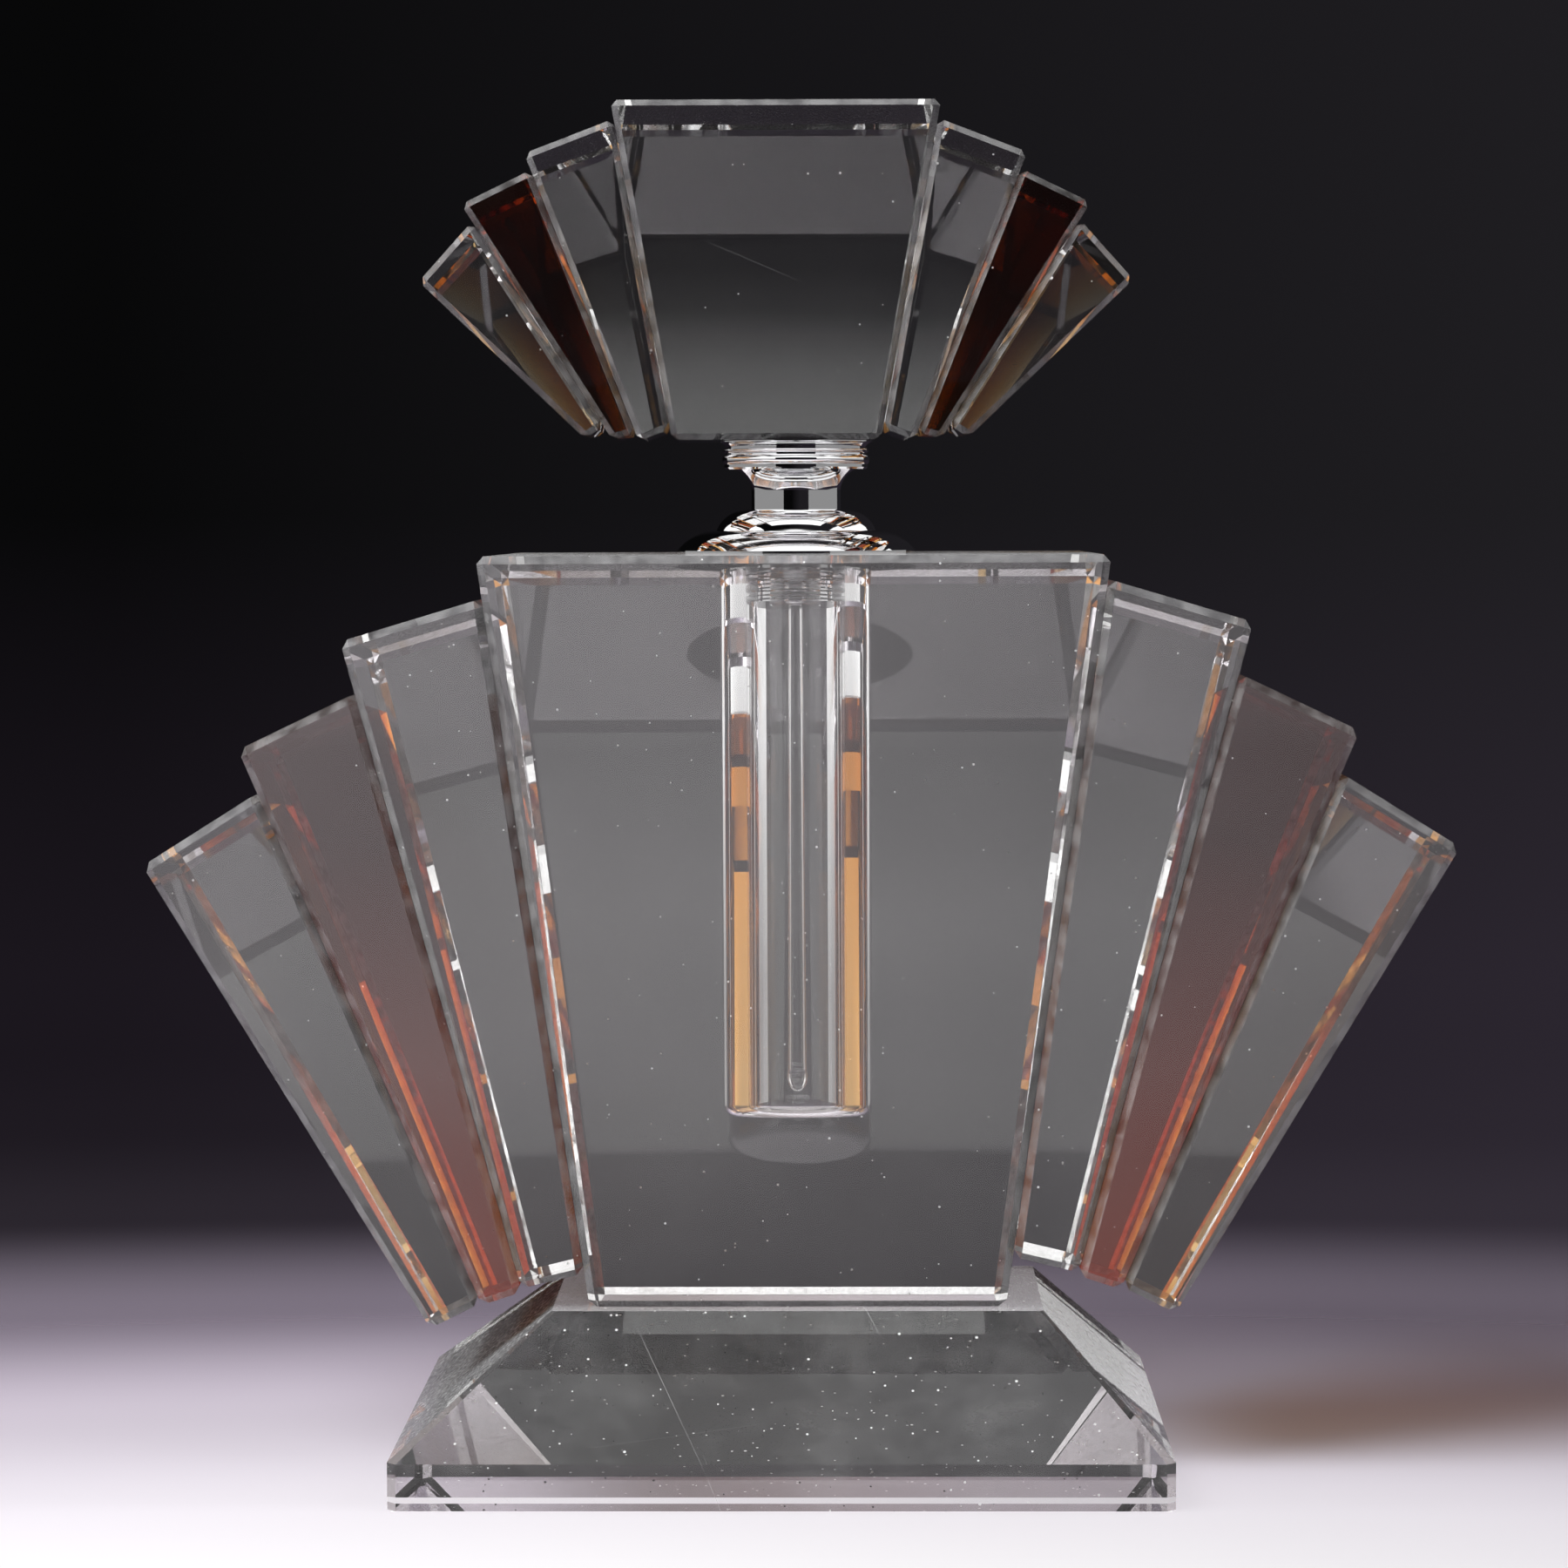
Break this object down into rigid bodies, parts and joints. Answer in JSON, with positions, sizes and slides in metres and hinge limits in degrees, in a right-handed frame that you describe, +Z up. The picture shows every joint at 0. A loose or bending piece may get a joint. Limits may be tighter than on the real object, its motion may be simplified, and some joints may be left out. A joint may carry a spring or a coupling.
{
  "type": "perfume bottle",
  "caption": "Cut-glass perfume bottle on a bevelled plinth, with clear and amber glass fans, a chrome neck and a fanned stopper with a dipper rod.",
  "frame": {"origin": "on the plinth's underside, directly below the axis of the neck, bore and stopper", "axes": "+Z up, +X to the right as seen from the front, -Y towards the viewer; the object is thinnest along Y"},
  "size_m": [0.1678, 0.0704, 0.179],
  "materials": {
    "clear_glass": "polished cut crystal",
    "amber_glass": "polished dark amber crystal",
    "chrome": "bright plated",
    "clear_polymer": "clear moulded polymer",
    "seal_rubber": "translucent silicone"
  },
  "bodies": {
    "bottle": {"plinth": "clear_glass", "reservoir_block": "clear_glass", "bottle_left_inner_blade": "clear_glass", "bottle_left_amber_blade": "amber_glass", "bottle_left_outer_blade": "clear_glass", "bottle_right_inner_blade": "clear_glass", "bottle_right_amber_blade": "amber_glass", "bottle_right_outer_blade": "clear_glass", "neck_collar": "chrome", "neck_sleeve": "clear_polymer"},
    "seals": {"plug_seal_lower": "seal_rubber", "plug_seal_upper": "seal_rubber"},
    "stopper": {"stopper_ferrule": "chrome", "stopper_plug": "clear_polymer", "dipper_rod": "clear_glass", "stopper_block": "clear_glass", "stopper_left_inner_blade": "clear_glass", "stopper_left_amber_blade": "amber_glass", "stopper_left_outer_blade": "clear_glass", "stopper_right_inner_blade": "clear_glass", "stopper_right_amber_blade": "amber_glass", "stopper_right_outer_blade": "clear_glass"}
  },
  "joints": [
    {"name": "stopper_lift", "type": "slide", "parent": "bottle", "child": "seals", "axis": [0, 0, 1], "range_m": [0, 0.08]},
    {"name": "stopper_turn", "type": "hinge", "parent": "seals", "child": "stopper", "pos_m": [0, 0, 0.13], "axis": [0, 0, 1], "continuous": true}
  ]
}
